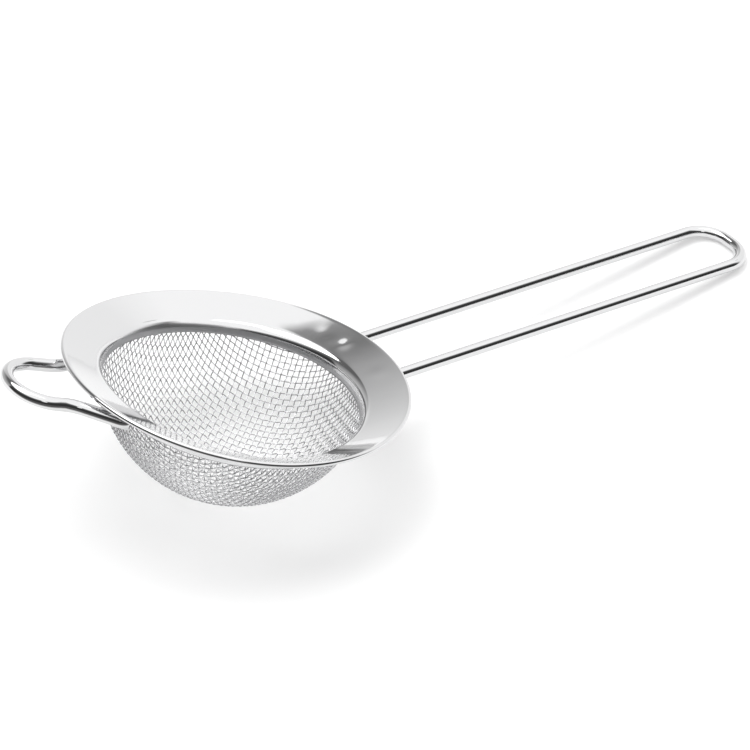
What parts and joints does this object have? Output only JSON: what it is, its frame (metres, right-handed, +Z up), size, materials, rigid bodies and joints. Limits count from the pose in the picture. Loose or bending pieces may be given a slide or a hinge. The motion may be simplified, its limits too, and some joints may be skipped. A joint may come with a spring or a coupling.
{
  "type": "tea strainer",
  "caption": "Wide-rim tea strainer: a woven wire bowl clamped in a dished sheet rim, with a hairpin wire handle and a wire cup rest opposite it.",
  "frame": {"origin": "centre of the bounding box on the table plane, with the strainer lying on its bowl and handle bend", "axes": "+X from the cup rest towards the handle bend, +Y across, +Z up from the table; the rim's axis leans about 14 degrees towards +X"},
  "size_m": [0.199, 0.08, 0.0425],
  "materials": {
    "rim_steel": "polished stainless steel",
    "clamp_steel": "plain stainless steel",
    "cloth_steel": "drawn stainless wire",
    "wire_steel": "polished stainless wire",
    "weld_steel": "weld metal"
  },
  "bodies": {
    "root": {"rim_flange": "rim_steel", "mesh_clamp_ring": "clamp_steel", "warp_wires": "cloth_steel", "weft_wires": "cloth_steel", "handle_wire": "wire_steel", "cup_rest_wire": "wire_steel", "handle_spot_welds": "weld_steel", "cup_rest_spot_welds": "weld_steel"}
  },
  "joints": []
}
